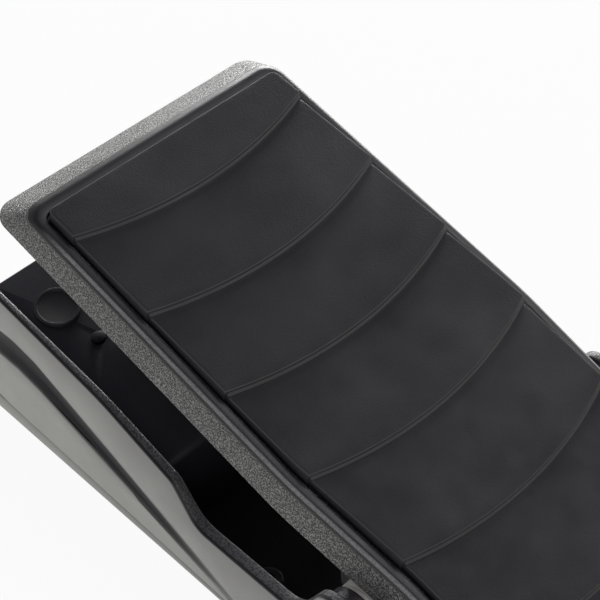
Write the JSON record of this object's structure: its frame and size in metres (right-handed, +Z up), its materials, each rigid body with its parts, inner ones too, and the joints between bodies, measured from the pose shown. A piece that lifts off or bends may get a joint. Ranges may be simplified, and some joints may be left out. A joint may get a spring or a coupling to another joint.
{
  "type": "expression pedal",
  "caption": "Rocking foot pedal with a waisted treadle, shingled rubber mat, geared potentiometer drive, wedge base, jack, range knob and polarity switch.",
  "frame": {"origin": "middle of the footprint on the surface that the feet stand on", "axes": "+X to the right as seen from the heel, +Y to the toe, +Z up; the treadle rests heel down"},
  "size_m": [0.102, 0.252, 0.0844],
  "materials": {
    "shell_plastic": "moulded black plastic, leather grain",
    "cover_plastic": "moulded black plastic",
    "mat_rubber": "matte black rubber",
    "foot_rubber": "matte black rubber",
    "steel": "zinc plated steel",
    "dark_steel": "blackened steel",
    "nylon": "natural nylon",
    "gear_plastic": "white acetal",
    "pot_metal": "nickel plated steel",
    "board": "green circuit board",
    "jack_plastic": "black plastic",
    "knob_plastic": "black plastic",
    "wire": "wire insulation",
    "socket_plastic": "off-white plastic"
  },
  "bodies": {
    "base": {"base_shell": "shell_plastic", "deck_plate": "shell_plastic", "control_panel": "shell_plastic", "bottom_cover": "cover_plastic", "rubber_feet": "foot_rubber", "cover_screws": "dark_steel", "toe_bumper_pads": "foot_rubber", "heel_bumper_pads": "foot_rubber", "deck_screws": "dark_steel", "pivot_bushes": "nylon", "friction_washers": "nylon", "axle_caps": "cover_plastic", "pot_bracket": "steel", "bracket_screws": "steel", "drive_pot_body": "pot_metal", "drive_pot_nut": "pot_metal", "circuit_board": "board", "board_screws": "steel", "jack_body": "jack_plastic", "jack_nut": "pot_metal", "range_pot_body": "pot_metal", "range_pot_nut": "pot_metal", "polarity_switch_body": "pot_metal", "lead_socket": "socket_plastic", "pot_leads": "wire"},
    "treadle": {"treadle_frame": "shell_plastic", "tread_mat": "mat_rubber", "pivot_axle": "steel", "axle_clips": "dark_steel", "drive_sector": "gear_plastic", "sector_screws": "steel"},
    "pot_rotor": {"pot_spindle": "steel", "pot_pinion": "gear_plastic"},
    "range_control": {"range_spindle": "steel", "range_knob": "knob_plastic"},
    "polarity_lever": {"polarity_slider": "jack_plastic"}
  },
  "joints": [
    {"name": "treadle_tilt", "type": "hinge", "parent": "base", "child": "treadle", "pos_m": [0, -0.0118, 0.0332], "axis": [1, 0, 0], "range_deg": [-11.4, 0]},
    {"name": "pot_turn", "type": "hinge", "parent": "base", "child": "pot_rotor", "pos_m": [0, 0.03326, 0.01499], "axis": [1, 0, 0], "range_deg": [0, 91.2]},
    {"name": "range_turn", "type": "hinge", "parent": "base", "child": "range_control", "pos_m": [0.02, 0.1185, 0.0181], "axis": [0, 1, 0], "range_deg": [-150, 150]},
    {"name": "polarity_slide", "type": "slide", "parent": "base", "child": "polarity_lever", "axis": [1, 0, 0], "range_m": [0, 0.003]}
  ],
  "couplings": [
    {"joint": "pot_turn", "follows": "treadle_tilt", "ratio": -8}
  ]
}
